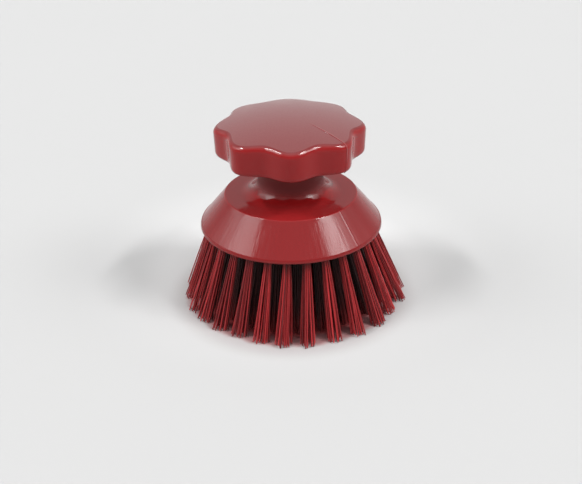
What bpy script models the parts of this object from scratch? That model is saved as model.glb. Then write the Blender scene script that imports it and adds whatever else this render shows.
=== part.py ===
"""Round scrub brush: a moulded stock with a lobed palm knob, and tufts stapled into drilled holes.

Metres, +Z up. The origin is on the brush's axis, in the plane that the trimmed bristle tips stand
on. The front is -Y, where one lobe of the knob points. A section is a list of (radius, height)
points, read from the underside, up the outside and in to the crown.
"""
from math import acos, asin, atan2, copysign, cos, pi, radians, sin, sqrt

import bmesh
import bpy
from mathutils import Matrix, Vector

# Bristles
BRISTLE_LENGTH = 0.0415          # free length, from the stock's underside, before the trim
TIP_TRIM = 0.0005                # cut off flat, so that all the tips stand in one plane
STRANDS_PER_TUFT = 8
TUFT_ROOT_RADIUS = 0.0021        # packed bundle in its hole
TUFT_TIP_RADIUS = 0.0038         # from the tuft's axis to the middle of its outermost strands
STRAND_TIP_share = 0.65          # strand's width at the tip over its width at the packed root
STRAND_REACH_shares = (0.8, 1.0)  # neighbouring strands reach out unequally
ROOT_STANDOUT = 0.0015           # length of the packed root outside the hole
FOLD_RISE = 0.0009               # height of the arch where the bundle folds over its staple

# Rows of tufts, from the rim to the middle
ROW_NAMES = ("outer", "second", "third", "inner")
ROW_COUNTS = (27, 21, 8, 3)
ROW_RADIUS_shares = (1.0, 0.795, 0.59, 0.37)  # of the outer row's radius
ROW_TURNS = (radians(-4), radians(4), radians(12), radians(50))  # first tuft, from the front
ROW_EDGE_DISTANCE = 0.0065       # outer row's hole mouths, in from the skirt's widest line
OUTER_TILT = radians(17.4)       # splay of the outer row; inner rows splay in proportion

# Drilled holes, and the flat wire staples that hold the tufts
HOLE_DEPTH = 0.0058
CLEARANCE = 0.0003
STAPLE_THICKNESS = 0.0005
STAPLE_WIDTH = 0.0020            # along the hole
STAPLE_BITE = 0.0009             # length pressed into the wall on each side of the hole
STAPLE_COVER = 0.0010            # thickness of the fold over the staple
CUT_OVERRUN = 0.0020

# Skirt
SKIRT_RADIUS = 0.0475
RIM_INSET = 0.0021               # lower edge, in from the widest line
RIM_EDGE_HEIGHT = 0.0006
RIM_BAND_HEIGHT = 0.0022
RIM_STEP = 0.0002                # the band stands out this far from the flank
SKIRT_CORNER_RADIUS = 0.0030
SHELF_RADIUS = 0.0338            # flat top of the skirt, out to where its edge turns down
SHELF_HEIGHT = 0.0177            # above the underside
SHELF_EDGE_RADIUS = 0.0010

# Neck
NECK_RADIUS = 0.0167
NECK_FOOT_FILLET = 0.0100
NECK_HEAD_FILLET = 0.0080

# Knob
FINGER_GAP = 0.0219              # between the skirt's shelf and the knob
KNOB_HEIGHT = 0.0198             # to the top of the crown
KNOB_RADIUS = 0.0361             # mean of lobes and valleys
KNOB_LOBES = 8
LOBE_HEIGHT = 0.0021             # lobe over the mean, and valley under it
KNOB_DRAFT = 0.0004              # the wall leans out this far on its way up
KNOB_FOOT_INSET = 0.0009
KNOB_FOOT_HEIGHT = 0.0025
KNOB_EDGE_RADIUS = 0.0036
CROWN_RADIUS = 0.1465
CROWN_RING_shares = (0.68, 0.34)

# Facets
SEGMENTS = 64
ARC_STEPS = 4
SMOOTH_ANGLE = radians(32)

# Finish
STOCK_COLOUR = (0.27, 0.020, 0.022, 1)
STOCK_ROUGHNESS = 0.30
BRISTLE_COLOUR = (0.36, 0.022, 0.026, 1)
BRISTLE_ROUGHNESS = 0.42

underside_z = BRISTLE_LENGTH - TIP_TRIM
shelf_z = underside_z + SHELF_HEIGHT
knob_z = shelf_z + FINGER_GAP
outer_row_radius = SKIRT_RADIUS - ROW_EDGE_DISTANCE
flat_share = cos(pi / STRANDS_PER_TUFT)  # a packed root's flats over its corners
root_flat_radius = TUFT_ROOT_RADIUS * flat_share
hole_flat_radius = root_flat_radius + CLEARANCE
hole_corner_radius = hole_flat_radius / flat_share
staple_reach = hole_flat_radius + STAPLE_BITE
staple_depth = -HOLE_DEPTH + CLEARANCE + STAPLE_COVER + STAPLE_WIDTH / 2


def arc(centre, radius, start, end, steps):
    """Points on a circle in the section, angles measured from outwards, over the top."""
    turns = [start + (end - start) * i / steps for i in range(steps + 1)]
    return [(centre[0] + radius * cos(turn), centre[1] + radius * sin(turn)) for turn in turns]


def tangent_angle(low_centre, low_radius, high_centre, high_radius):
    """Slope, over horizontal, of the normal of the line that touches two circles from outside."""
    out = low_centre[0] - high_centre[0]
    up = low_centre[1] - high_centre[1]
    return atan2(up, out) + acos((high_radius - low_radius) / sqrt(out * out + up * up))


def skirt_section():
    """Rim, flank and shelf, then the waisted neck up to the underside of the knob."""
    points = []
    for turn in (0, pi / 4, pi / 2):
        out = SKIRT_RADIUS - RIM_INSET * (1 - sin(turn))
        points.append((out, underside_z + RIM_EDGE_HEIGHT * (1 - cos(turn))))
    corner = (SKIRT_RADIUS - SKIRT_CORNER_RADIUS, underside_z + RIM_EDGE_HEIGHT)
    band_turn = asin((RIM_BAND_HEIGHT - RIM_EDGE_HEIGHT) / SKIRT_CORNER_RADIUS)
    points += arc(corner, SKIRT_CORNER_RADIUS, 0, band_turn, 1)[1:]
    flank_radius = SKIRT_CORNER_RADIUS - RIM_STEP
    edge = (SHELF_RADIUS, shelf_z - SHELF_EDGE_RADIUS)
    flank_turn = tangent_angle(corner, flank_radius, edge, SHELF_EDGE_RADIUS)
    points += arc(corner, flank_radius, band_turn, flank_turn, 1)
    points += arc(edge, SHELF_EDGE_RADIUS, flank_turn, pi / 2, 2)
    foot = (NECK_RADIUS + NECK_FOOT_FILLET, shelf_z + NECK_FOOT_FILLET)
    points += arc(foot, NECK_FOOT_FILLET, 3 * pi / 2, pi, ARC_STEPS)
    head = (NECK_RADIUS + NECK_HEAD_FILLET, knob_z - NECK_HEAD_FILLET)
    points += arc(head, NECK_HEAD_FILLET, pi, pi / 2, ARC_STEPS - 1)
    return points


def knob_section(turn):
    """Foot, wall, top edge and crown of the knob, at one angle round the axis."""
    lobe = KNOB_RADIUS + LOBE_HEIGHT * cos(KNOB_LOBES * turn)
    points = []
    for i in range(ARC_STEPS):
        rise = i * pi / 2 / (ARC_STEPS - 1)
        out = lobe - KNOB_FOOT_INSET * (1 - sin(rise))
        points.append((out, knob_z + KNOB_FOOT_HEIGHT * (1 - cos(rise))))
    # The top edge touches the wall and, from inside, the ball that the crown is part of
    ball_z = knob_z + KNOB_HEIGHT - CROWN_RADIUS
    edge_out = lobe + KNOB_DRAFT - KNOB_EDGE_RADIUS
    edge_up = sqrt((CROWN_RADIUS - KNOB_EDGE_RADIUS) ** 2 - edge_out ** 2)
    crown_turn = atan2(edge_up, edge_out)
    points += arc((edge_out, ball_z + edge_up), KNOB_EDGE_RADIUS, 0, crown_turn, ARC_STEPS)
    for share in CROWN_RING_shares:
        out = CROWN_RADIUS * cos(crown_turn) * share
        points.append((out, ball_z + sqrt(CROWN_RADIUS ** 2 - out ** 2)))
    return points


def loft_stock():
    """Skin the sections round the axis, and close them at the underside and the crown."""
    mesh = bmesh.new()
    rings = []
    for i in range(SEGMENTS):
        turn = 2 * pi * i / SEGMENTS
        section = skirt_section() + knob_section(turn)
        rings.append([mesh.verts.new((out * cos(turn), out * sin(turn), z)) for out, z in section])
    apex = mesh.verts.new((0, 0, knob_z + KNOB_HEIGHT))
    for here, after in zip(rings, rings[1:] + rings[:1]):
        for k in range(len(here) - 1):
            mesh.faces.new((here[k], after[k], after[k + 1], here[k + 1]))
        mesh.faces.new((here[-1], after[-1], apex))
    mesh.faces.new([ring[0] for ring in rings])
    return mesh


def tuft_directions(row):
    """At a hole whose own +X points out from the brush's axis: down the tuft, out and sideways."""
    tilt = OUTER_TILT * ROW_RADIUS_shares[row]
    down = Vector((sin(tilt), 0, -cos(tilt)))
    out = Vector((cos(tilt), 0, sin(tilt)))
    return down, out, Vector((0, 1, 0))


def bundle_ring(mesh, row, radius, depths):
    """One corner for each strand, round the tuft's axis, each at its depth below the mouth."""
    down, out, side = tuft_directions(row)
    ring = []
    for i, depth in enumerate(depths):
        turn = (i + 1 / 2) * 2 * pi / STRANDS_PER_TUFT
        across = side * (radius * cos(turn)) + out * (radius * sin(turn))
        ring.append(mesh.verts.new(down * depth + across))
    return ring


def join_rings(mesh, lower, upper):
    """Side walls of a prism, returned in the rings' order."""
    count = len(lower)
    return [mesh.faces.new((lower[i], lower[(i + 1) % count], upper[(i + 1) % count], upper[i]))
            for i in range(count)]


def add_packed_root(mesh, row):
    """The bundle in its hole, folded over its staple at the top and open below."""
    depths = []
    for i in range(STRANDS_PER_TUFT):
        turn = (i + 1 / 2) * 2 * pi / STRANDS_PER_TUFT
        depths.append(-HOLE_DEPTH + CLEARANCE + FOLD_RISE * round(abs(sin(turn))))
    lower = bundle_ring(mesh, row, TUFT_ROOT_RADIUS, [ROOT_STANDOUT] * STRANDS_PER_TUFT)
    upper = bundle_ring(mesh, row, TUFT_ROOT_RADIUS, depths)
    walls = join_rings(mesh, lower, upper)
    half = STRANDS_PER_TUFT // 2
    mesh.faces.new(upper[:half])
    mesh.faces.new(upper[half:])
    mesh.faces.new((upper[0], upper[half - 1], upper[half], upper[-1]))
    add_staple_end(mesh, row, walls[-1], 1)
    add_staple_end(mesh, row, walls[half - 1], -1)
    return lower


def add_staple_end(mesh, row, wall, sign):
    """Draw one end of the staple out of a side wall of the packed root."""
    down, out, side = tuft_directions(row)
    middle = down * staple_depth
    corners = list(wall.verts)
    mesh.faces.remove(wall)
    section = []
    for corner in corners:
        along = copysign(STAPLE_WIDTH / 2, (corner.co - middle).dot(down))
        across = copysign(STAPLE_THICKNESS / 2, corner.co.dot(out))
        section.append(middle + down * along + out * across)
    start = [mesh.verts.new(point + side * (sign * root_flat_radius)) for point in section]
    end = [mesh.verts.new(point + side * (sign * staple_reach)) for point in section]
    join_rings(mesh, corners, start)
    join_rings(mesh, start, end)
    mesh.faces.new(end)


def add_strands(mesh, row, lower):
    """Split the open end of the root into strands that fan out to the plane of their natural ends."""
    down, out, side = tuft_directions(row)
    centre = mesh.verts.new(down * ROOT_STANDOUT)
    axis_end = down * (BRISTLE_LENGTH / -down.z)
    cells = []
    for i, corner in enumerate(lower):
        cells.append(mesh.faces.new((corner, lower[(i + 1) % len(lower)], centre)))
    strands = bmesh.ops.extrude_discrete_faces(mesh, faces=cells)["faces"]
    for i, strand in enumerate(strands):
        middle = strand.calc_center_median()
        offset = middle - centre.co
        reach = TUFT_TIP_RADIUS * STRAND_REACH_shares[i % len(STRAND_REACH_shares)] / offset.length
        for vert in strand.verts:
            spread = offset * reach + (vert.co - middle) * STRAND_TIP_share
            vert.co = axis_end + Vector((spread.dot(out), spread.dot(side), 0))


def trim_tips(mesh):
    """Cut the strands flat, as the shears leave them, in the plane that the brush stands on."""
    everything = mesh.verts[:] + mesh.edges[:] + mesh.faces[:]
    bmesh.ops.bisect_plane(mesh, geom=everything, plane_co=(0, 0, -underside_z), plane_no=(0, 0, -1),
                           clear_outer=True)
    rims = [edge for edge in mesh.edges if edge.is_boundary]
    bmesh.ops.holes_fill(mesh, edges=rims, sides=0)


def build_tuft(row):
    """One tuft of a row, with its origin at the mouth of its hole and +X out from the axis."""
    mesh = bmesh.new()
    lower = add_packed_root(mesh, row)
    add_strands(mesh, row, lower)
    trim_tips(mesh)
    return mesh


def build_hole(row):
    mesh = bmesh.new()
    mouth = bundle_ring(mesh, row, hole_corner_radius, [CUT_OVERRUN] * STRANDS_PER_TUFT)
    end = bundle_ring(mesh, row, hole_corner_radius, [-HOLE_DEPTH] * STRANDS_PER_TUFT)
    join_rings(mesh, mouth, end)
    mesh.faces.new(mouth)
    mesh.faces.new(end)
    return mesh


def build_slot(row):
    """The cuts that the staple makes in the wall on both sides of its hole, as one block."""
    mesh = bmesh.new()
    down, out, side = tuft_directions(row)
    long = down * (STAPLE_WIDTH / 2 + CLEARANCE)
    thick = out * (STAPLE_THICKNESS / 2 + CLEARANCE)
    reach = side * (staple_reach + CLEARANCE)
    ends = []
    for end in (-reach, reach):
        corners = (end - long - thick, end + long - thick, end + long + thick, end - long + thick)
        ends.append([mesh.verts.new(down * staple_depth + corner) for corner in corners])
    join_rings(mesh, ends[0], ends[1])
    mesh.faces.new(ends[0])
    mesh.faces.new(ends[1])
    return mesh


def tuft_places(row):
    """Where each hole of a row has its mouth, and which way out it faces."""
    places = []
    for i in range(ROW_COUNTS[row]):
        turn = ROW_TURNS[row] + 2 * pi * i / ROW_COUNTS[row] - pi / 2
        radius = outer_row_radius * ROW_RADIUS_shares[row]
        places.append((Vector((radius * cos(turn), radius * sin(turn), underside_z)), turn))
    return places


def finish_mesh(mesh, name):
    bmesh.ops.recalc_face_normals(mesh, faces=mesh.faces[:])
    data = bpy.data.meshes.new(name)
    mesh.to_mesh(data)
    mesh.free()
    data.shade_smooth()
    data.set_sharp_from_angle(angle=SMOOTH_ANGLE)
    return data


def make_material(name, colour, roughness):
    material = bpy.data.materials.new(name)
    material.use_nodes = True
    shader = material.node_tree.nodes["Principled BSDF"]
    shader.inputs["Base Color"].default_value = colour
    shader.inputs["Roughness"].default_value = roughness
    shader.inputs["Metallic"].default_value = 0
    material.diffuse_color = colour
    return material


def add_object(name, data, parent):
    item = bpy.data.objects.new(name, data)
    item.parent = parent
    bpy.context.scene.collection.objects.link(item)
    return item


def cut_every_place(stock, name, build_cutter):
    """Take one cutter shape out of the stock at every hole."""
    cutters = bmesh.new()
    for row in range(len(ROW_NAMES)):
        for place, turn in tuft_places(row):
            cutter = build_cutter(row)
            bmesh.ops.transform(cutter, matrix=Matrix.Translation(place) @ Matrix.Rotation(turn, 4, "Z"),
                                verts=cutter.verts[:])
            data = bpy.data.meshes.new(name)
            cutter.to_mesh(data)
            cutter.free()
            cutters.from_mesh(data)
            bpy.data.meshes.remove(data)
    tool = add_object(name, finish_mesh(cutters, name), stock)
    tool.hide_render = True
    tool.display_type = "WIRE"
    cut = stock.modifiers.new(name, "BOOLEAN")
    cut.operation = "DIFFERENCE"
    cut.solver = "EXACT"
    cut.object = tool


def add_stock(parent, material):
    stock = add_object("stock", finish_mesh(loft_stock(), "stock"), parent)
    stock.data.materials.append(material)
    cut_every_place(stock, "hole_cutter", build_hole)
    cut_every_place(stock, "staple_slot_cutter", build_slot)


def add_tufts(parent, material):
    for row, row_name in enumerate(ROW_NAMES):
        data = finish_mesh(build_tuft(row), "tuft_" + row_name)
        data.materials.append(material)
        for i, (place, turn) in enumerate(tuft_places(row)):
            tuft = add_object(f"tuft_{row_name}_{i + 1:02d}", data, parent)
            tuft.location = place
            tuft.rotation_euler.z = turn


def main():
    for old in list(bpy.data.objects):
        bpy.data.objects.remove(old)
    brush = add_object("scrub_brush", None, None)
    add_stock(brush, make_material("stock_plastic", STOCK_COLOUR, STOCK_ROUGHNESS))
    add_tufts(brush, make_material("bristle_plastic", BRISTLE_COLOUR, BRISTLE_ROUGHNESS))


main()
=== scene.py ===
"""Looks of the round scrub brush: one satin moulding and its tufts of fine filament.

Everything is in metres, in the frame of the CAD part: +Z up, the front is -Y, and the trimmed
tips stand on z = 0. The sizes that the part has are repeated here, because this script reads
nothing but the frame.
"""

import random
from collections import namedtuple
from math import acos, asin, atan2, cos, pi, radians, sin, sqrt, tan

import bmesh
import bpy
from mathutils import Matrix, Vector


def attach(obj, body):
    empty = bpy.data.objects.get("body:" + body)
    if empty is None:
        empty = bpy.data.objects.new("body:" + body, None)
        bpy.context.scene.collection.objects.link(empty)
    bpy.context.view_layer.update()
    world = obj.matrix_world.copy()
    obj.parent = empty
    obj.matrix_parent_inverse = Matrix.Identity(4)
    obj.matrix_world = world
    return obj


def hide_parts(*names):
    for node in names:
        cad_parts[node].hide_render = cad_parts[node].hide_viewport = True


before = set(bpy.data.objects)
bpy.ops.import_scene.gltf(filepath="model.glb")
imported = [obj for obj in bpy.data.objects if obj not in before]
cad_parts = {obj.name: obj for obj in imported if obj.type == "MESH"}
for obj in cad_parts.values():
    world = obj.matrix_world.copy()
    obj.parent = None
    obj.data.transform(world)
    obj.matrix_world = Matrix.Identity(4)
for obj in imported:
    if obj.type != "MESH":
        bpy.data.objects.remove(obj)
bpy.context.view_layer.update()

# Sizes that the CAD part has
UNDERSIDE = 0.0410
OUTER_ROW_RADIUS = 0.0410
Row = namedtuple("Row", "name tufts share first_turn")  # share of the outer row's radius and tilt
ROWS = (
    Row("outer", 27, 1.0, radians(-4)),
    Row("second", 21, 0.795, radians(4)),
    Row("third", 16, 0.59, radians(12)),
    Row("inner", 9, 0.37, radians(50)),
    Row("centre", 3, 0.13, radians(20)),
)
NODE_STEPS = {"outer": 1, "second": 1, "third": 2, "inner": 3}  # the CAD has every so many-th tuft
OUTER_TILT = radians(17.4)
HOLE_DEPTH = 0.0058
TUFT_ROOT_RADIUS = 0.0021
TUFT_TIP_RADIUS = 0.0042
SKIRT_RADIUS = 0.0475
RIM_INSET = 0.0021
RIM_EDGE_HEIGHT = 0.0006
RIM_BAND_HEIGHT = 0.0022
RIM_STEP = 0.0002
SKIRT_CORNER_RADIUS = 0.0030
SHELF_RADIUS = 0.0338
SHELF = 0.0587
SHELF_EDGE_RADIUS = 0.0010
NECK_RADIUS = 0.0167
NECK_FOOT_FILLET = 0.0100
NECK_HEAD_FILLET = 0.0080
KNOB = 0.0806
KNOB_HEIGHT = 0.0198
KNOB_RADIUS = 0.0361
KNOB_LOBES = 8
LOBE_HEIGHT = 0.0021
KNOB_DRAFT = 0.0004
KNOB_FOOT_INSET = 0.0009
KNOB_FOOT_HEIGHT = 0.0025
KNOB_EDGE_RADIUS = 0.0036
CROWN_RADIUS = 0.1465

# Sizes of the moulding that only the looks have
COLUMNS = 320                       # columns of points round the axis
FLANK_START = radians(2)            # the flank's round starts this far above the band
HOLE_CLEARANCE = 0.00012            # between a hole's wall and its tuft
MOUTH_BEVEL_WIDTH = 0.00015
MOUTH_BEVEL_DEPTH = 0.00018
DRILL_POINT_HEIGHT = 0.0006         # of the cone at the bottom of a hole
HOLE_SIDES = 28
PARTING_TURN = radians(44)          # from the front to the right, where the mould's halves met
PARTING_OFFSETS = (-0.00028, -0.00014, -0.00004, 0.00004, 0.00014, 0.00028)
PARTING_RISES = (0, 0.00013, 0.00021, 0.00021, 0.00013, 0)
PARTING_ROOM = 1.2                  # columns within so many half steps make way for the line
SKIRT_LINE_SHARE = 0.17             # height of the line below the knob, as a share of its rises
UNLINED_POINTS = 4                  # the section's first points, under the rim, have no line
CROWN_LINE_RADIUS = 0.0130          # the line ends at this radius on the crown
CROWN_LINE_FADE = 0.008             # and has its full height this far outside it

# Sizes of the filaments, which only the looks have
FILAMENT_RADIUS = 0.00030
FILAMENT_SIDES = 6
FILAMENT_RINGS = 9
FILAMENTS = 29                      # in each tuft
ROOT_DEPTH = 0.0048                 # how far the filaments are modelled inside their hole
SPLAY_POWER = 1.12                  # above 1, they spread more towards their tips
GOLDEN_SHARE = 3 - sqrt(5)          # of half a turn, from one filament or clump to the next
CLUMPS = 7                          # filaments lie together in so many clumps at the tips
CLUMP_START = 0.4                   # places the clumps between the tuft's middle and its edge
CLUMP_REACH = 1.05                  # share of the tuft's radius at its tips
CLUMPING = 0.24                     # share of the way that each tip moves to its clump's middle
SPREAD_POWER = 0.9                  # below 1, the tips lie closer together at the tuft's edge
SKEW_TOWARDS = Vector((sin(radians(65)), -cos(radians(65))))
SPLAY_SKEW = 0.0032                 # worn tips to the right of the front reach further out
SKEW_POWER = 1.5
SIDE_LEAN = 0.0018                  # and the tips in front lie a little to the left
SIDE_LEAN_POWER = 3

# Chance in the filaments: a scatter is a standard deviation
LEAN_SCATTER = (0.0004, 0.0006)     # of a tuft's tips, outwards and sideways
FAN_SCATTER = 0.06                  # share of a tuft's radius at its tips
CLUMP_TURN_SCATTER = 0.3
TIP_SCATTER = 0.07                  # share of a tip's distance from the middle
TIP_TURN_SCATTER = 0.12
STRAY_CHANCE = 0.05
STRAY_SHARES = (0.08, 0.30)         # a stray tip stands out by so much
BOW_SCATTER = 0.00022               # how far a filament's middle leaves its line
LENGTH_SCATTER = 0.00035
SHORT_CHANCE = 0.06
SHORT_LENGTHS = (0.0004, 0.0016)    # a short filament lacks so much
CUT_HEIGHT = 0.00035                # the longest tips end within this height of the floor
CUT_SLOPE = 0.25                    # share of the end ring's own height that its cut keeps
TONE_POWER = 0.8                    # below 1, most filaments are of the lighter tones

# Shade in the mass of tufts
COVER_START = 0.0006                # outside the outer tufts' axes, where it begins
COVER_DEPTH = 0.0056                # and how far inside it is full
COVER_POWER = 0.85
COVER_HEIGHT = 0.0130               # up to here the light from the tips fades away
COVER_AT_TIPS = 0.50
ROOT_COVER = 0.75                   # least cover where a filament leaves its hole
ROOT_COVER_LENGTH = 0.0042

# Where the moulding's finish, its painted light and its painted shade change: heights, radii, or how far
# the surface faces up
FLANK_HEIGHTS = (0.0560, 0.0580)
SHELF_LOW_HEIGHTS = (0.0578, 0.0586)
SHELF_HIGH_HEIGHTS = (0.0592, 0.0610)
UPPER_HEIGHTS = (0.0588, 0.0612)
NECK_FOOT_HEIGHTS = (0.0616, 0.0672)
NECK_HEAD_HEIGHTS = (0.0805, 0.0820)
NECK_RADII = (0.0172, 0.0240)
CROWN_HEIGHTS = (0.0850, 0.0900)
CROWN_FACINGS = (0.86, 0.972)
CROWN_SHEEN_FACINGS = (0.45, 0.92)
LINE_LIGHT_OFFSET = 0.0005          # the parting line's lit side lies this far beside it
LINE_LIGHT_WIDTHS = (0.00018, 0.00042)
LINE_LIGHT_RADII = (CROWN_LINE_RADIUS, 0.0200)

# Where the floor's tone changes, painted as light, shadow and reflection: distances from a point on it
SHADOW_CENTRE = (0, 0.0350, 0)
SHADOW_RADII = (0.0700, 0.1300)
SIDE_CENTRE = (0, 0.0240, 0)
SIDE_RADII = (0.0670, 0.0880)
CONTACT_CENTRE = (0, -0.0030, 0)
CONTACT_RADII = (0.0540, 0.0690)
PINK_RADII = (0.0540, 0.0588)
RED_RADII = (0.0455, 0.0530)
RED_WANDER = 0.006                  # how far the red's border wanders in and out

# Colours, linear
PLASTIC_DARK = (0.157, 0.0074, 0.0082, 1)
PLASTIC_LIGHT = (0.178, 0.0088, 0.0096, 1)
# Painted light: a lighter red above the flank, on the knob and its wall
PLASTIC_UPPER_PAINTED_LIGHT = (0.238, 0.0070, 0.0078, 1)
# Painted light: a lighter red on the shelf, which lies in the knob's shade
PLASTIC_SHELF_PAINTED_LIGHT = (0.210, 0.0112, 0.0122, 1)
# Painted shade: a darker red in the recess round the neck, under the knob
PLASTIC_RECESS_PAINTED_SHADE = (0.060, 0.002, 0.002, 1)
# Painted sheen and shade: a greyer, darker red on the crown
PLASTIC_CROWN_PAINTED_SHEEN = (0.145, 0.024, 0.025, 1)
PLASTIC_LINE = (0.260, 0.080, 0.080, 1)
FILAMENT_DARK = (0.046, 0.003, 0.004, 1)
FILAMENT_LIGHT = (0.430, 0.025, 0.028, 1)
# Painted shade: darker filaments deep in the mass of tufts and at their roots
FILAMENT_PAINTED_SHADE = (0.013, 0.0055, 0.0055, 1)
FLOOR_DARK = (0.393, 0.393, 0.393, 1)
FLOOR_LIGHT = (0.401, 0.401, 0.401, 1)
# Painted light: a lighter floor near the brush, where its shadow falls
FLOOR_SHADOW_LIFT = (0.436, 0.436, 0.436, 1)
# Painted light: a lighter floor beside the brush, where its shadow falls
FLOOR_BESIDE_LIFT = (0.490, 0.490, 0.490, 1)
# Painted shadow: a darker, reddish floor round the tips
FLOOR_CONTACT_SHADOW = (0.235, 0.196, 0.196, 1)
# Painted reflection and red bounce light of the tufts on the floor, round and under their tips
FLOOR_PINK_REFLECTION = (0.270, 0.098, 0.100, 1)
FLOOR_RED_REFLECTION = (0.200, 0.034, 0.036, 1)

# Shares of those colours where they are strongest
CLOUD_SHARE = 0.7                   # of the moulding's variation that is cloudy; the rest is grain
UPPER_PAINTED_LIGHT_SHARE = 0.7
SHELF_PAINTED_LIGHT_SHARE = 0.8
RECESS_PAINTED_SHADE_SHARE = 0.55
LINE_LIGHT_SHARE = 0.6
TONE_SHARE = 0.75                   # of a filament's colour that is its own; the rest is cloudy
COVER_SHARE = 0.93
CONTACT_SHARE = 0.46
PINK_SHARE = 0.8

# How rough and how hazy surfaces are, where their noise is low and where it is high
NOISE_MEAN = 0.5
NOISE_MIDDLE = (0.3, 0.7)
STREAK_NOISE = (0.35, 0.70)
SPECK_NOISE = (0.60, 0.72)
PLASTIC_ROUGHNESS = (0.07, 0.10)
STREAK_ROUGHNESS = (0.0, 0.13)      # added to it on the flank
SPECK_ROUGHNESS = (0.0, 0.08)
COAT_WEIGHT = (0.86, 1.0)
FILAMENT_ROUGHNESS = (0.30, 0.42)
RECESS_ROUGHNESS = 0.45             # added on the neck
CROWN_ROUGHNESS = 0.28              # added on the crown
STREAK_DRAW = 3.0                   # the less, the longer the streaks are for their width
STREAK_RELIEF = 6.0                 # height of the streaks, against the long waves of the surface
PEEL_RELIEF = 0.35                  # height of the orange peel, against the same

# Studio. How far a direction points up or back lies between -1 and 1
EVEN_LIGHT = 0.44
BACKDROP_LIGHTS = (0.22, -0.34)     # added to it behind the brush, low down and overhead
BACKDROP_UP = (0.52, 0.84)
BACKDROP_BACK = (0.15, 0.70)
CEILING_LIGHT = 0.95                # added overhead and in front
CEILING_UP = (0.82, 0.90)
CEILING_BACK = (0.0, 0.30)
HORIZON_LIGHT = 0.80                # least light low down
HORIZON_UP = (0.02, 0.16)
WINDOWS = (  # turn, rise, half width, half height, soft sides, soft ends, strength
    (-75.5, 38.5, 0.21, 0.12, 0.05, 0.07, 3.9),
    (-86, 35, 0.10, 0.16, 0.60, 0.07, 2.3),
    (-101, 20, 0.15, 0.14, 0.30, 0.12, 1.1),
    (67.5, 39.5, 0.05, 0.12, 0.20, 0.07, 8.2),
    (76, 38, 0.06, 0.15, 0.42, 0.07, 4.0),
    (101, 20, 0.10, 0.14, 0.30, 0.12, 0.7),
    (-76, 53, 0.13, 0.020, 0.05, 0.03, 72),
    (68, 53, 0.13, 0.020, 0.05, 0.03, 76),
    (0, 52, 0.60, 0.22, 0.30, 0.07, 0.40),
)
LEAST_FACING = 0.001                # keeps a window from showing on the opposite side too
FLOOR_HALF_SIZE = 4.0
FLOOR_STEPS = 8
FLOOR_DROP = 0.00005                # keeps the floor just clear of the tips

# Camera
CAMERA_TARGET = Vector((-0.00027, 0, 0.0286))
CAMERA_RISE = radians(28)
CAMERA_TURN = radians(-1)
CAMERA_ROLL = radians(-0.95)
CAMERA_DISTANCE = 0.561
CAMERA_CLIP = (0.01, 20)
SENSOR_WIDTH = 36.0                 # millimetres
PHOTO_WIDTH_PIXELS = 582
FOCAL_LENGTH_PIXELS = 1052.5

# Edges that bend more than this are shaded sharp
STOCK_SHARP_ANGLE = radians(35)
FILAMENT_SHARP_ANGLE = radians(62)


def clamp(value):
    """The value, kept between 0 and 1."""
    return max(0, min(1, value))


def arc(centre, radius, start, end, steps):
    """Points on a circle in the section, from one angle to another."""
    turns = [start + (end - start) * i / steps for i in range(steps + 1)]
    return [(centre[0] + radius * cos(t), centre[1] + radius * sin(t)) for t in turns]


def quarter(radius, height, inset, rise, steps):
    """Quarter round of the section: it starts level, inset from the radius, and ends upright on it."""
    turns = [i / steps * pi / 2 for i in range(steps + 1)]
    return [(radius - inset * (1 - sin(t)), height + rise * (1 - cos(t))) for t in turns]


def line(start, end, steps):
    """Points strictly between two points."""
    return [(start[0] + (end[0] - start[0]) * i / steps, start[1] + (end[1] - start[1]) * i / steps)
            for i in range(1, steps)]


def tangent_angle(low_centre, low_radius, high_centre, high_radius):
    """Angle at which one straight line touches both circles from outside."""
    out = low_centre[0] - high_centre[0]
    up = low_centre[1] - high_centre[1]
    return atan2(up, out) + acos((high_radius - low_radius) / sqrt(out * out + up * up))


def skirt_section():
    """Rim, flank, shelf and neck, up to the underside of the knob."""
    points = quarter(SKIRT_RADIUS, UNDERSIDE, RIM_INSET, RIM_EDGE_HEIGHT, steps=8)
    corner = (SKIRT_RADIUS - SKIRT_CORNER_RADIUS, UNDERSIDE + RIM_EDGE_HEIGHT)
    band_turn = asin((RIM_BAND_HEIGHT - RIM_EDGE_HEIGHT) / SKIRT_CORNER_RADIUS)
    points += arc(corner, SKIRT_CORNER_RADIUS, 0, band_turn, steps=6)[1:]
    flank_radius = SKIRT_CORNER_RADIUS - RIM_STEP
    edge = (SHELF_RADIUS, SHELF - SHELF_EDGE_RADIUS)
    flank_turn = tangent_angle(corner, flank_radius, edge, SHELF_EDGE_RADIUS)
    flank = arc(corner, flank_radius, band_turn + FLANK_START, flank_turn, steps=8)
    shelf_edge = arc(edge, SHELF_EDGE_RADIUS, flank_turn, pi / 2, steps=7)
    points += flank + line(flank[-1], shelf_edge[0], steps=8) + shelf_edge
    foot = (NECK_RADIUS + NECK_FOOT_FILLET, SHELF + NECK_FOOT_FILLET)
    neck_foot = arc(foot, NECK_FOOT_FILLET, 3 * pi / 2, pi, steps=16)
    points += line(shelf_edge[-1], neck_foot[0], steps=6) + neck_foot
    head = (NECK_RADIUS + NECK_HEAD_FILLET, KNOB - NECK_HEAD_FILLET)
    neck_head = arc(head, NECK_HEAD_FILLET, pi, pi / 2, steps=14)
    points += line(neck_foot[-1], neck_head[0], steps=2) + neck_head
    return points


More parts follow.
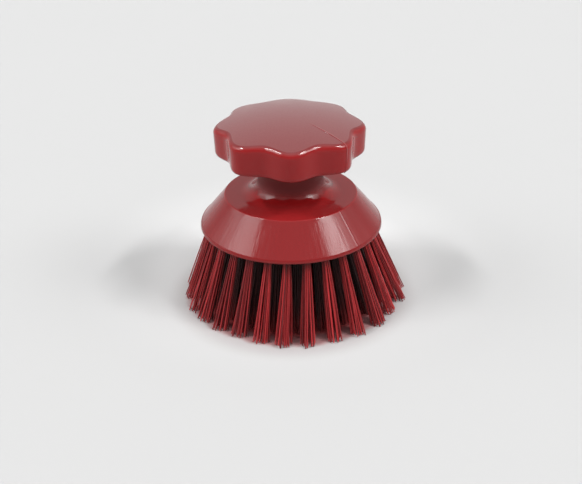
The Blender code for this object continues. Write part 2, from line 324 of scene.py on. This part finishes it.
def knob_section(turn):
    """Underside, foot, wall, top edge and crown of the knob, at one angle round the axis."""
    lobe = KNOB_RADIUS + LOBE_HEIGHT * cos(KNOB_LOBES * turn)
    foot = quarter(lobe, KNOB, KNOB_FOOT_INSET, KNOB_FOOT_HEIGHT, steps=14)
    ball = KNOB + KNOB_HEIGHT - CROWN_RADIUS
    edge_out = lobe + KNOB_DRAFT - KNOB_EDGE_RADIUS
    edge_up = sqrt((CROWN_RADIUS - KNOB_EDGE_RADIUS) ** 2 - edge_out ** 2)
    crown_turn = atan2(edge_up, edge_out)
    edge = arc((edge_out, ball + edge_up), KNOB_EDGE_RADIUS, 0, crown_turn, steps=16)
    points = line((NECK_RADIUS + NECK_HEAD_FILLET, KNOB), foot[0], steps=5) + foot
    points += line(foot[-1], edge[0], steps=3) + edge
    rim = CROWN_RADIUS * cos(crown_turn)
    crown_steps = 26
    for i in range(1, crown_steps):
        out = rim * (1 - i / crown_steps)
        points.append((out, ball + sqrt(CROWN_RADIUS ** 2 - out ** 2)))
    return points


def stock_columns():
    """Turn, side offset and ridge height of each column of points round the axis."""
    columns = [(2 * pi * i / COLUMNS, 0, 0) for i in range(COLUMNS)]
    room = pi / COLUMNS * PARTING_ROOM
    for half in (0, pi):
        turn = (PARTING_TURN - pi / 2 + half) % (2 * pi)
        columns = [c for c in columns if abs((c[0] - turn + pi) % (2 * pi) - pi) > room]
        columns += [(turn, offset, rise) for offset, rise in zip(PARTING_OFFSETS, PARTING_RISES)]
    return sorted(columns)


def stock_column(turn, offset, rise):
    """One column of points, on a line that stays beside the parting plane by its offset."""
    skirt = skirt_section()
    # Near the axis the offset would carry a point past its neighbours
    most = pi / COLUMNS / 2
    count = len(skirt) + len(knob_section(turn - pi / 2))
    column = []
    for k in range(count):
        own = turn
        # The turn that keeps the offset depends on the radius, and the knob's radius on the turn
        for _ in range(2 if offset else 1):
            section = skirt + knob_section(own + pi / 2)
            out = section[k][0]
            own = turn + max(-most, min(most, offset / out))
        before, after = section[max(k - 1, 0)], section[min(k + 1, count - 1)]
        along = Vector((after[0] - before[0], after[1] - before[1])).normalized()
        height = rise
        if k > len(skirt) and section[k][1] > KNOB + KNOB_HEIGHT / 2:
            height *= clamp((out - CROWN_LINE_RADIUS) / CROWN_LINE_FADE)
            height *= cos(turn + pi / 2 - PARTING_TURN) > 0
        elif k < len(skirt):
            height *= SKIRT_LINE_SHARE
        if k < UNLINED_POINTS:
            height = 0
        out, up = out + along.y * height, section[k][1] - along.x * height
        column.append(Vector((out * cos(own), out * sin(own), up)))
    return column


def hole_frame(row, i):
    """Place of a hole's mouth, with the directions down its tuft, outwards and sideways."""
    turn = row.first_turn + 2 * pi * i / row.tufts - pi / 2
    tilt = OUTER_TILT * row.share
    spin = Matrix.Rotation(turn, 3, "Z")
    place = spin @ Vector((OUTER_ROW_RADIUS * row.share, 0, UNDERSIDE))
    down = spin @ Vector((sin(tilt), 0, -cos(tilt)))
    out = spin @ Vector((cos(tilt), 0, sin(tilt)))
    return place, down, out, spin.col[1]


def hole_ring(mesh, hole, radius, depth, flat):
    """Ring of points at a depth in a hole: level if flat, else square to the hole."""
    place, down, out, side = hole
    ring = []
    for j in range(HOLE_SIDES):
        turn = 2 * pi * j / HOLE_SIDES
        point = place + (out * cos(turn) + side * sin(turn)) * radius
        point += down * ((UNDERSIDE + depth - point.z) / down.z if flat else -depth)
        ring.append(mesh.verts.new(point))
    return ring


def join_rings(mesh, lower, upper):
    """Faces between two rings of points."""
    for j in range(len(lower)):
        after = (j + 1) % len(lower)
        mesh.faces.new((lower[j], lower[after], upper[after], upper[j]))


def edges_round(mesh, ring):
    """The edges between neighbours in a ring of points."""
    return [mesh.edges.get((a, b)) for a, b in zip(ring, ring[1:] + ring[:1])]


def drill_hole(mesh, hole):
    """Mouth, wall and drill point of one hole. Gives the edges of its mouth."""
    place, down = hole[:2]
    radius = TUFT_ROOT_RADIUS + HOLE_CLEARANCE
    mouth = hole_ring(mesh, hole, radius + MOUTH_BEVEL_WIDTH, 0, flat=True)
    wall = hole_ring(mesh, hole, radius, MOUTH_BEVEL_DEPTH, flat=True)
    end = hole_ring(mesh, hole, radius, HOLE_DEPTH - DRILL_POINT_HEIGHT, flat=False)
    tip = mesh.verts.new(place - down * HOLE_DEPTH)
    join_rings(mesh, mouth, wall)
    join_rings(mesh, wall, end)
    for j in range(len(end)):
        mesh.faces.new((end[j], end[(j + 1) % len(end)], tip))
    return edges_round(mesh, mouth)


def build_stock():
    """The whole moulding as one closed surface, with its drilled holes."""
    mesh = bmesh.new()
    columns = [[mesh.verts.new(point) for point in stock_column(*column)] for column in stock_columns()]
    apex = mesh.verts.new((0, 0, KNOB + KNOB_HEIGHT))
    for here, after in zip(columns, columns[1:] + columns[:1]):
        for k in range(len(here) - 1):
            mesh.faces.new((here[k], after[k], after[k + 1], here[k + 1]))
        mesh.faces.new((here[-1], after[-1], apex))
    border = edges_round(mesh, [column[0] for column in columns])
    for row in ROWS:
        for i in range(row.tufts):
            border += drill_hole(mesh, hole_frame(row, i))
    bmesh.ops.triangle_fill(mesh, use_beauty=True, use_dissolve=False, edges=border, normal=(0, 0, -1))
    bmesh.ops.recalc_face_normals(mesh, faces=mesh.faces[:])
    return mesh


def cover_of(point):
    """How deep a point lies in the mass of tufts: 0 on the outside, 1 well within it."""
    reach = OUTER_ROW_RADIUS + (UNDERSIDE - point.z) * tan(OUTER_TILT) + COVER_START
    inside = clamp((reach - point.xy.length) / COVER_DEPTH) ** COVER_POWER
    deep = inside * (COVER_AT_TIPS + (1 - COVER_AT_TIPS) * clamp(point.z / COVER_HEIGHT))
    return max(deep, ROOT_COVER * clamp(1 - (UNDERSIDE - point.z) / ROOT_COVER_LENGTH))


def tuft_lean(rng, row, place):
    """How far a tuft's tips lie from its own axis, outwards and sideways."""
    lean = Vector((rng.gauss(0, LEAN_SCATTER[0]), rng.gauss(0, LEAN_SCATTER[1])))
    outward = place.xy.normalized()
    lean.x += SPLAY_SKEW * row.share * max(0, outward.dot(SKEW_TOWARDS)) ** SKEW_POWER
    lean.y -= SIDE_LEAN * row.share * max(0, -outward.y) ** SIDE_LEAN_POWER
    return lean


def tuft_clumps(rng, fan):
    """Places round a tuft's axis, at its tips, that the filaments draw together to."""
    clumps = []
    for j in range(CLUMPS):
        turn = j * pi * GOLDEN_SHARE + rng.gauss(0, CLUMP_TURN_SCATTER)
        reach = fan * sqrt((j + CLUMP_START) / CLUMPS) * CLUMP_REACH
        clumps.append(Vector((cos(turn), sin(turn))) * reach)
    return clumps


def filament_ends(rng, turn, radius_share, fan, clumps):
    """Where a filament starts and ends, out and sideways from its tuft's axis."""
    root = Vector((cos(turn), sin(turn))) * (radius_share * (TUFT_ROOT_RADIUS - FILAMENT_RADIUS))
    spread = fan * (radius_share ** SPREAD_POWER) * (1 + rng.gauss(0, TIP_SCATTER))
    if rng.random() < STRAY_CHANCE:
        spread *= 1 + rng.uniform(*STRAY_SHARES)
    swing = turn + rng.gauss(0, TIP_TURN_SCATTER)
    tip = Vector((cos(swing), sin(swing))) * spread
    middle = min(clumps, key=lambda clump: (clump - tip).length)
    return root, tip.lerp(middle, CLUMPING)


def filament_path(hole, root, tip, bow, reach):
    """Points along a filament, from inside its hole to its tip."""
    place, down, out, side = hole
    path = []
    for k in range(FILAMENT_RINGS + 1):
        along = -ROOT_DEPTH + (reach + ROOT_DEPTH) * (k / FILAMENT_RINGS)
        way = max(0, along / reach)
        offset = root.lerp(tip, way ** SPLAY_POWER) + bow * sin(pi * way)
        path.append(place + down * along + out * offset.x + side * offset.y)
    return path


def add_filament(mesh, path, side, tone, layers):
    """A closed tube along the path. Its last ring is cut nearly level."""
    rings = []
    for k, point in enumerate(path):
        ahead = path[min(k + 1, FILAMENT_RINGS)] - path[max(k - 1, 0)]
        ahead.normalize()
        across = ahead.cross(side).normalized()
        other = ahead.cross(across)
        ring = []
        for m in range(FILAMENT_SIDES):
            angle = 2 * pi * m / FILAMENT_SIDES
            arm = across * cos(angle) + other * sin(angle)
            vert = mesh.verts.new(point + arm * FILAMENT_RADIUS)
            if k == FILAMENT_RINGS:
                vert.co.z = max(point.z + arm.z * FILAMENT_RADIUS * CUT_SLOPE, 0)
            vert[layers["tone"]] = tone
            vert[layers["cover"]] = cover_of(vert.co)
            ring.append(vert)
        rings.append(ring)
    for lower, upper in zip(rings, rings[1:]):
        join_rings(mesh, lower, upper)
    mesh.faces.new(rings[0])
    mesh.faces.new(rings[-1])


def build_tuft(row, i):
    """Fine filaments packed in their hole and splayed to the floor, each with its own small bend."""
    rng = random.Random(f"{row.name} {i}")
    hole = hole_frame(row, i)
    place, down, _, side = hole
    free = UNDERSIDE / -down.z
    lean = tuft_lean(rng, row, place)
    fan = TUFT_TIP_RADIUS * (1 + rng.gauss(0, FAN_SCATTER))
    clumps = tuft_clumps(rng, fan)
    mesh = bmesh.new()
    layers = {name: mesh.verts.layers.float.new(name) for name in ("tone", "cover")}
    twist = rng.uniform(0, 2 * pi)
    for j in range(FILAMENTS):
        radius_share = sqrt((j + 0.5) / FILAMENTS)
        root, tip = filament_ends(rng, twist + j * pi * GOLDEN_SHARE, radius_share, fan, clumps)
        bow = Vector((rng.gauss(0, BOW_SCATTER), rng.gauss(0, BOW_SCATTER)))
        reach = free - abs(rng.gauss(0, LENGTH_SCATTER))
        reach -= (rng.random() < SHORT_CHANCE) * rng.uniform(*SHORT_LENGTHS)
        tone = rng.uniform(0, 1) ** TONE_POWER
        path = filament_path(hole, root, tip + lean, bow, reach)
        # Trimmed level: the last point moves along its own filament to the height of its cut
        last = path[-1] - path[-2]
        height = rng.uniform(0, CUT_HEIGHT) + (free - reach)
        path[-1] = path[-2] + last * ((height - path[-2].z) / last.z)
        add_filament(mesh, path, side, tone, layers)
    bmesh.ops.recalc_face_normals(mesh, faces=mesh.faces[:])
    return mesh


def add_piece(name, mesh, material, sharp):
    data = bpy.data.meshes.new(name)
    mesh.to_mesh(data)
    mesh.free()
    data.shade_smooth()
    data.set_sharp_from_angle(angle=sharp)
    data.materials.append(material)
    piece = bpy.data.objects.new(name, data)
    bpy.context.scene.collection.objects.link(piece)
    return piece


class Nodes:
    """Short calls for a node tree. A value is a socket or a constant."""

    def __init__(self, tree):
        self.tree = tree

    def add(self, kind, **settings):
        node = self.tree.nodes.new("ShaderNode" + kind)
        for key, value in settings.items():
            setattr(node, key, value)
        return node

    def link(self, source, target):
        self.tree.links.new(source, target)

    def feed(self, sockets, values):
        for socket, value in zip(sockets, values):
            if isinstance(value, bpy.types.NodeSocket):
                self.link(value, socket)
            else:
                socket.default_value = value

    def math(self, operation, *values):
        node = self.add("Math", operation=operation)
        self.feed(node.inputs, values)
        return node.outputs[0]

    def times(self, first, second):
        return self.math("MULTIPLY", first, second)

    def plus(self, first, second):
        return self.math("ADD", first, second)

    def parts(self, vector):
        """The X, Y and Z of a vector."""
        node = self.add("SeparateXYZ")
        self.link(vector, node.inputs[0])
        return tuple(node.outputs)

    def vector(self, *values):
        node = self.add("CombineXYZ")
        self.feed(node.inputs, values)
        return node.outputs[0]

    def dot(self, vector, direction):
        node = self.add("VectorMath", operation="DOT_PRODUCT")
        self.feed(node.inputs, (vector, direction))
        return node.outputs["Value"]

    def distance(self, vector, point):
        node = self.add("VectorMath", operation="DISTANCE")
        self.feed(node.inputs, (vector, point))
        return node.outputs["Value"]

    def ramp(self, value, source, result=(0.0, 1.0), smooth=False):
        """What the value has between the source's two numbers, brought to the result's two."""
        node = self.add("MapRange", interpolation_type="SMOOTHSTEP" if smooth else "LINEAR")
        names = ("Value", "From Min", "From Max", "To Min", "To Max")
        self.feed([node.inputs[name] for name in names], (value, *source, *result))
        return node.outputs["Result"]

    def rise(self, value, source, height=1.0):
        return self.ramp(value, source, (0.0, height), smooth=True)

    def fall(self, value, source, height=1.0):
        return self.ramp(value, source, (height, 0.0), smooth=True)

    def noise(self, vector, scale, detail):
        node = self.add("TexNoise")
        self.feed([node.inputs[name] for name in ("Vector", "Scale", "Detail")], (vector, scale, detail))
        return node.outputs["Fac"]

    def mix(self, factor, first, second):
        """A mix of two colours. Its sockets of one name differ by data type, so they are taken by place."""
        node = self.add("Mix", data_type="RGBA")
        self.feed((node.inputs[0], node.inputs[6], node.inputs[7]), (factor, first, second))
        return node.outputs[2]

    def bump(self, height, strength, distance):
        node = self.add("Bump")
        names = ("Height", "Strength", "Distance")
        self.feed([node.inputs[name] for name in names], (height, strength, distance))
        return node.outputs["Normal"]


def new_material(name):
    material = bpy.data.materials.new(name)
    material.use_nodes = True
    nodes = Nodes(material.node_tree)
    shader = material.node_tree.nodes["Principled BSDF"]
    return material, nodes, shader, nodes.add("TexCoord").outputs["Object"]


def set_shader(nodes, shader, **values):
    """Feeds the shader's sockets, named in small letters with _ for a space."""
    sockets = {socket.name.lower().replace(" ", "_"): socket for socket in shader.inputs}
    for name, value in values.items():
        nodes.feed([sockets[name]], [value])


def parting_light(nodes, place, high):
    """The light side of the parting line on the crown."""
    across = nodes.dot(place, (cos(PARTING_TURN), sin(PARTING_TURN), 0))
    beside = nodes.math("ABSOLUTE", nodes.math("SUBTRACT", across, LINE_LIGHT_OFFSET))
    outward = nodes.dot(place, (sin(PARTING_TURN), -cos(PARTING_TURN), 0))
    light = nodes.times(nodes.fall(beside, LINE_LIGHT_WIDTHS), nodes.rise(outward, LINE_LIGHT_RADII))
    return nodes.times(light, high)


def stock_colour(nodes, place, height, recess, crown_sheen, line_light):
    """An even dark red, faintly cloudy. Painted light makes it brighter above the flank and on the shelf,
    painted shade darkens the neck's recess, and painted sheen and shade make it greyer and darker on the
    crown.
    """
    cloud = nodes.times(nodes.noise(place, scale=45.0, detail=3.0), CLOUD_SHARE)
    grain = nodes.times(nodes.noise(place, scale=900.0, detail=2.0), 1 - CLOUD_SHARE)
    colour = nodes.mix(nodes.plus(cloud, grain), PLASTIC_DARK, PLASTIC_LIGHT)
    # Painted light: a lighter red above the flank
    colour = nodes.mix(nodes.rise(height, UPPER_HEIGHTS, UPPER_PAINTED_LIGHT_SHARE), colour, PLASTIC_UPPER_PAINTED_LIGHT)
    # Painted light: a lighter red on the shelf under the knob
    shelf_light = nodes.times(nodes.rise(height, SHELF_LOW_HEIGHTS), nodes.fall(height, SHELF_HIGH_HEIGHTS))
    colour = nodes.mix(nodes.times(shelf_light, SHELF_PAINTED_LIGHT_SHARE), colour, PLASTIC_SHELF_PAINTED_LIGHT)
    # Painted shade: a darker red in the neck's recess
    colour = nodes.mix(nodes.times(recess, RECESS_PAINTED_SHADE_SHARE), colour, PLASTIC_RECESS_PAINTED_SHADE)
    # Painted sheen and shade: a greyer, darker red on the crown
    colour = nodes.mix(crown_sheen, colour, PLASTIC_CROWN_PAINTED_SHEEN)
    return nodes.mix(nodes.times(line_light, LINE_LIGHT_SHARE), colour, PLASTIC_LINE)


def flank_streaks(nodes, axial, height):
    """Faint streaks that run down the flank."""
    around = nodes.add("VectorMath", operation="NORMALIZE")
    nodes.link(axial, around.inputs[0])
    across, deep, _ = nodes.parts(around.outputs[0])
    drawn = nodes.vector(across, deep, nodes.times(height, STREAK_DRAW))
    return nodes.ramp(nodes.noise(drawn, scale=34.0, detail=3.0), STREAK_NOISE, STREAK_ROUGHNESS)


def stock_material():
    """Satin polypropylene with the fine orange peel of its mould and a dull crown, whose colour has painted
    sheen and shade.
    """
    material, nodes, shader, place = new_material("satin_red_moulding")
    across, deep, height = nodes.parts(place)
    axial = nodes.vector(across, deep)
    facing = nodes.parts(nodes.add("TexCoord").outputs["Normal"])[2]
    high = nodes.rise(height, CROWN_HEIGHTS)
    crown = nodes.times(high, nodes.rise(facing, CROWN_FACINGS))
    # Mask for the crown's painted sheen and shade
    crown_sheen = nodes.times(high, nodes.rise(facing, CROWN_SHEEN_FACINGS))
    # The neck's recess: a rougher finish, and painted shade in its colour
    neck = nodes.times(nodes.rise(height, NECK_FOOT_HEIGHTS), nodes.fall(height, NECK_HEAD_HEIGHTS))
    recess = nodes.times(neck, nodes.fall(nodes.distance(axial, (0, 0, 0)), NECK_RADII))
    flank = nodes.fall(height, FLANK_HEIGHTS)

    streaks = flank_streaks(nodes, axial, height)
    dust = nodes.noise(place, scale=1300.0, detail=1.0)
    specks = nodes.ramp(dust, SPECK_NOISE, SPECK_ROUGHNESS)
    patches = nodes.ramp(nodes.noise(place, scale=160.0, detail=3.0), NOISE_MIDDLE, PLASTIC_ROUGHNESS)
    roughness = nodes.plus(nodes.times(flank, nodes.plus(streaks, specks)), patches)
    roughness = nodes.plus(roughness, nodes.times(recess, RECESS_ROUGHNESS))
    roughness = nodes.plus(roughness, nodes.times(crown, CROWN_ROUGHNESS))

    peel = nodes.times(nodes.noise(place, scale=700.0, detail=1.5), PEEL_RELIEF)
    relief = nodes.plus(peel, nodes.noise(place, scale=120.0, detail=1.0))
    relief = nodes.plus(relief, nodes.times(flank, nodes.times(streaks, STREAK_RELIEF)))

    set_shader(
        nodes, shader,
        base_color=stock_colour(nodes, place, height, recess, crown_sheen, parting_light(nodes, place, high)),
        roughness=roughness,
        specular_ior_level=0.30,
        coat_weight=nodes.times(crown, nodes.ramp(dust, NOISE_MIDDLE, COAT_WEIGHT)),
        coat_roughness=0.36,
        coat_ior=1.68,
        normal=nodes.bump(relief, strength=0.10, distance=0.0004),
    )
    return material


def filament_material():
    """Extruded red filament: glossy along its length, each one of a slightly different tone, and darker by
    painted shade deep in the mass of tufts and at their roots.
    """
    material, nodes, shader, place = new_material("red_filament")
    tone = nodes.times(nodes.add("Attribute", attribute_name="tone").outputs["Fac"], TONE_SHARE)
    cloud = nodes.times(nodes.noise(place, scale=260.0, detail=2.0), 1 - TONE_SHARE)
    colour = nodes.mix(nodes.plus(tone, cloud), FILAMENT_DARK, FILAMENT_LIGHT)
    # Painted shade: darker deep in the mass of tufts and at the roots
    cover = nodes.times(nodes.add("Attribute", attribute_name="cover").outputs["Fac"], COVER_SHARE)
    patches = nodes.noise(place, scale=500.0, detail=2.0)
    relief = nodes.noise(place, scale=2500.0, detail=1.0)
    set_shader(
        nodes, shader,
        base_color=nodes.mix(cover, colour, FILAMENT_PAINTED_SHADE),
        roughness=nodes.ramp(patches, NOISE_MIDDLE, FILAMENT_ROUGHNESS),
        specular_ior_level=0.36,
        normal=nodes.bump(relief, strength=0.15, distance=0.0001),
    )
    return material


def floor_colour(nodes, place):
    """Pale, lighter by painted light near and beside the brush where its shadow falls, with a painted
    shadow round the tips, and with the painted reflection and red bounce light of the tufts that a glossy
    floor would mirror, round and under their tips.
    """
    colour = nodes.mix(nodes.noise(place, scale=3.0, detail=2.0), FLOOR_DARK, FLOOR_LIGHT)
    # Painted light: lighter near the brush, where its shadow falls
    shadow_lift = nodes.fall(nodes.distance(place, SHADOW_CENTRE), SHADOW_RADII)
    colour = nodes.mix(shadow_lift, colour, FLOOR_SHADOW_LIFT)
    # Painted light: lighter beside the brush, where its shadow falls
    beside = nodes.fall(nodes.distance(place, SIDE_CENTRE), SIDE_RADII)
    colour = nodes.mix(beside, colour, FLOOR_BESIDE_LIFT)
    # Painted shadow round the tips
    contact = nodes.fall(nodes.distance(place, CONTACT_CENTRE), CONTACT_RADII, CONTACT_SHARE)
    colour = nodes.mix(contact, colour, FLOOR_CONTACT_SHADOW)
    # Painted reflection and red bounce light of the tufts, round and under their tips
    wander = nodes.math("SUBTRACT", nodes.noise(place, scale=110.0, detail=2.0), NOISE_MEAN)
    away = nodes.plus(nodes.distance(place, (0, 0, 0)), nodes.times(wander, RED_WANDER))
    colour = nodes.mix(nodes.fall(away, PINK_RADII, PINK_SHARE), colour, FLOOR_PINK_REFLECTION)
    return nodes.mix(nodes.fall(away, RED_RADII), colour, FLOOR_RED_REFLECTION)


def floor_material():
    material, nodes, shader, place = new_material("pale_floor")
    set_shader(nodes, shader, base_color=floor_colour(nodes, place), roughness=0.9, ior=1.0)
    # From below the floor can be seen through, so that the underside can be looked at
    mix = nodes.add("MixShader")
    behind = nodes.add("NewGeometry").outputs["Backfacing"]
    clear = nodes.add("BsdfTransparent").outputs[0]
    nodes.feed(mix.inputs, (behind, shader.outputs[0], clear))
    nodes.link(mix.outputs[0], material.node_tree.nodes["Material Output"].inputs["Surface"])
    return material


def window_light(nodes, direction, turn, rise, half_width, half_height, soft_sides, soft_ends):
    """Light from a window in the sky: 1 inside it, 0 outside. Angles in degrees, turn from the front."""
    turn, rise = radians(turn), radians(rise)
    ahead = Vector((sin(turn) * cos(rise), -cos(turn) * cos(rise), sin(rise)))
    side = Vector((cos(turn), sin(turn), 0))
    up = side.cross(ahead) * -1
    facing = nodes.math("MAXIMUM", nodes.dot(direction, ahead), LEAST_FACING)
    masks = []
    for axis, half, edge in ((side, half_width, soft_sides), (up, half_height, soft_ends)):
        away = nodes.math("ABSOLUTE", nodes.math("DIVIDE", nodes.dot(direction, axis), facing))
        masks.append(nodes.fall(away, (half, half + edge)))
    return nodes.times(*masks)


def build_world():
    """A pale studio: even light, a backdrop, a ceiling, a light horizon and windows on both sides."""
    world = bpy.data.worlds.new("studio")
    bpy.context.scene.world = world
    world.use_nodes = True
    nodes = Nodes(world.node_tree)
    direction = nodes.add("TexCoord").outputs["Generated"]
    _, back, up = nodes.parts(direction)
    backdrop = nodes.ramp(up, BACKDROP_UP, BACKDROP_LIGHTS, smooth=True)
    light = nodes.plus(nodes.times(nodes.rise(back, BACKDROP_BACK), backdrop), EVEN_LIGHT)
    ceiling = nodes.times(nodes.rise(up, CEILING_UP, CEILING_LIGHT), nodes.fall(back, CEILING_BACK))
    light = nodes.plus(light, ceiling)
    horizon = nodes.ramp(up, HORIZON_UP, (HORIZON_LIGHT, EVEN_LIGHT), smooth=True)
    light = nodes.math("MAXIMUM", light, horizon)
    for *window, strength in WINDOWS:
        light = nodes.plus(light, nodes.times(window_light(nodes, direction, *window), strength))
    background = world.node_tree.nodes["Background"]
    background.inputs["Color"].default_value = (1, 1, 1, 1)
    nodes.link(light, background.inputs["Strength"])


def add_floor():
    mesh = bmesh.new()
    places = [FLOOR_HALF_SIZE * (2 * i / FLOOR_STEPS - 1) for i in range(FLOOR_STEPS + 1)]
    grid = [[mesh.verts.new((x, y, -FLOOR_DROP)) for y in places] for x in places]
    for here, after in zip(grid, grid[1:]):
        for j in range(FLOOR_STEPS):
            mesh.faces.new((here[j], after[j], after[j + 1], here[j + 1]))
    floor = add_piece("studio_floor", mesh, floor_material(), pi)


def add_camera():
    """Stands where the photograph was taken from, a little left of the front lobe."""
    camera = bpy.data.objects.new("camera", bpy.data.cameras.new("camera"))
    bpy.context.scene.collection.objects.link(camera)
    level = cos(CAMERA_RISE)
    back = Vector((sin(CAMERA_TURN) * level, -cos(CAMERA_TURN) * level, sin(CAMERA_RISE)))
    camera.location = CAMERA_TARGET + back * CAMERA_DISTANCE
    camera.rotation_mode = "QUATERNION"
    roll = Matrix.Rotation(CAMERA_ROLL, 3, "Z").to_quaternion()
    camera.rotation_quaternion = (-back).to_track_quat("-Z", "Y") @ roll
    camera.data.lens = SENSOR_WIDTH * FOCAL_LENGTH_PIXELS / PHOTO_WIDTH_PIXELS
    camera.data.sensor_width = SENSOR_WIDTH
    camera.data.clip_start, camera.data.clip_end = CAMERA_CLIP
    bpy.context.scene.camera = camera


def add_stock():
    stock = add_piece("stock_surface", build_stock(), stock_material(), STOCK_SHARP_ANGLE)
    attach(stock, "root")
    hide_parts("stock")


def add_tufts():
    material = filament_material()
    for row in ROWS:
        step = NODE_STEPS.get(row.name)
        for i in range(row.tufts):
            name = f"filaments_{row.name}_{i + 1:02d}"
            tuft = add_piece(name, build_tuft(row, i), material, FILAMENT_SHARP_ANGLE)
            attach(tuft, "root")
            if step and i % step == 0:
                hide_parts(f"tuft_{row.name}_{i // step + 1:02d}")


add_stock()
add_tufts()
add_floor()
build_world()
add_camera()
bpy.context.scene.view_settings.view_transform = "Standard"
